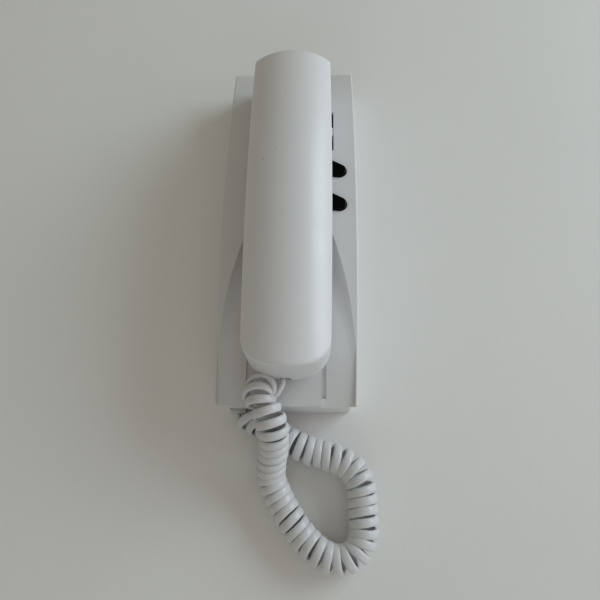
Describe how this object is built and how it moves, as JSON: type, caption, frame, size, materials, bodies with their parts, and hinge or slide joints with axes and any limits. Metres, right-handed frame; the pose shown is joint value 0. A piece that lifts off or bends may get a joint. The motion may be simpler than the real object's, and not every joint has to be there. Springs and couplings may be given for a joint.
{
  "type": "door intercom handset station",
  "caption": "White wall intercom station with a corded handset in its cradle, two black push buttons and a volume slide.",
  "frame": {"origin": "middle of the rear face, which lies on z = 0", "axes": "+Z out of the front, +Y towards the top end, +X to the right as the front is seen"},
  "size_m": [0.0832, 0.2834, 0.0643],
  "materials": {
    "tray_plastic": "satin white moulded ABS",
    "cover_plastic": "semi-gloss white moulded ABS",
    "handset_plastic": "satin white moulded ABS",
    "button_plastic": "high-gloss black",
    "knob_plastic": "satin white",
    "lever_plastic": "white acetal",
    "cord": "satin white PVC",
    "clear_plastic": "clear polycarbonate",
    "black_resin": "black moulded",
    "board": "green solder mask",
    "capacitor_sleeve": "dark shrink sleeve",
    "terminal_plastic": "green moulded",
    "speaker_paper": "pressed paper",
    "silicone": "translucent silicone",
    "foam_rubber": "black rubber",
    "steel": "zinc plated",
    "magnet_steel": "nickel plated",
    "weight_steel": "raw steel bar"
  },
  "bodies": {
    "base": {"rear_tray": "tray_plastic", "base_cover": "cover_plastic", "cover_screws": "steel", "circuit_board": "board", "board_screws": "steel", "control_chip": "black_resin", "capacitors": "capacitor_sleeve", "terminal_block": "terminal_plastic", "terminal_screws": "steel", "ringer_frame": "black_resin", "ringer_cone": "speaker_paper", "ringer_magnet": "magnet_steel", "door_button_dome": "silicone", "call_button_dome": "silicone", "volume_control_body": "black_resin", "hook_pin": "steel", "hook_spring": "steel", "hook_switch": "black_resin", "cord_jack": "black_resin", "cord_plug": "clear_plastic", "base_cord_tail": "cord"},
    "handset": {"handset_front_shell": "handset_plastic", "handset_rear_shell": "handset_plastic", "handset_screws": "steel", "receiver_gasket": "foam_rubber", "receiver_frame": "black_resin", "receiver_diaphragm": "speaker_paper", "receiver_magnet": "magnet_steel", "microphone_boot": "foam_rubber", "microphone_capsule": "magnet_steel", "handset_weight": "weight_steel", "cord_clamp": "tray_plastic", "handset_cord_coil": "cord", "handset_cord_tail": "cord"},
    "hook_lever": {"hook_lever": "lever_plastic"},
    "door_button": {"door_button": "button_plastic"},
    "call_button": {"call_button": "button_plastic"},
    "volume_knob": {"volume_knob": "knob_plastic", "volume_control_slider": "black_resin"}
  },
  "joints": [
    {"name": "handset_lift", "type": "slide", "parent": "base", "child": "handset", "axis": [0, 0, 1], "range_m": [0, 0.04]},
    {"name": "hook_pivot", "type": "hinge", "parent": "base", "child": "hook_lever", "pos_m": [0.001, 0.024, 0.021], "axis": [-1, 0, 0], "range_deg": [0, 6.5]},
    {"name": "door_button_press", "type": "slide", "parent": "base", "child": "door_button", "axis": [0, 0, -1], "range_m": [0, 0.0015], "stiffness_N_per_m": 900, "springref_m": -0.0002, "deforming": ["door_button_dome"]},
    {"name": "call_button_press", "type": "slide", "parent": "base", "child": "call_button", "axis": [0, 0, -1], "range_m": [0, 0.0015], "stiffness_N_per_m": 900, "springref_m": -0.0002, "deforming": ["call_button_dome"]},
    {"name": "volume_slide", "type": "slide", "parent": "base", "child": "volume_knob", "axis": [0, 1, 0], "range_m": [-0.0095, 0.0125]}
  ],
  "couplings": [
    {"joint": "hook_pivot", "follows": "handset_lift", "rad_per_m": 2.82}
  ]
}
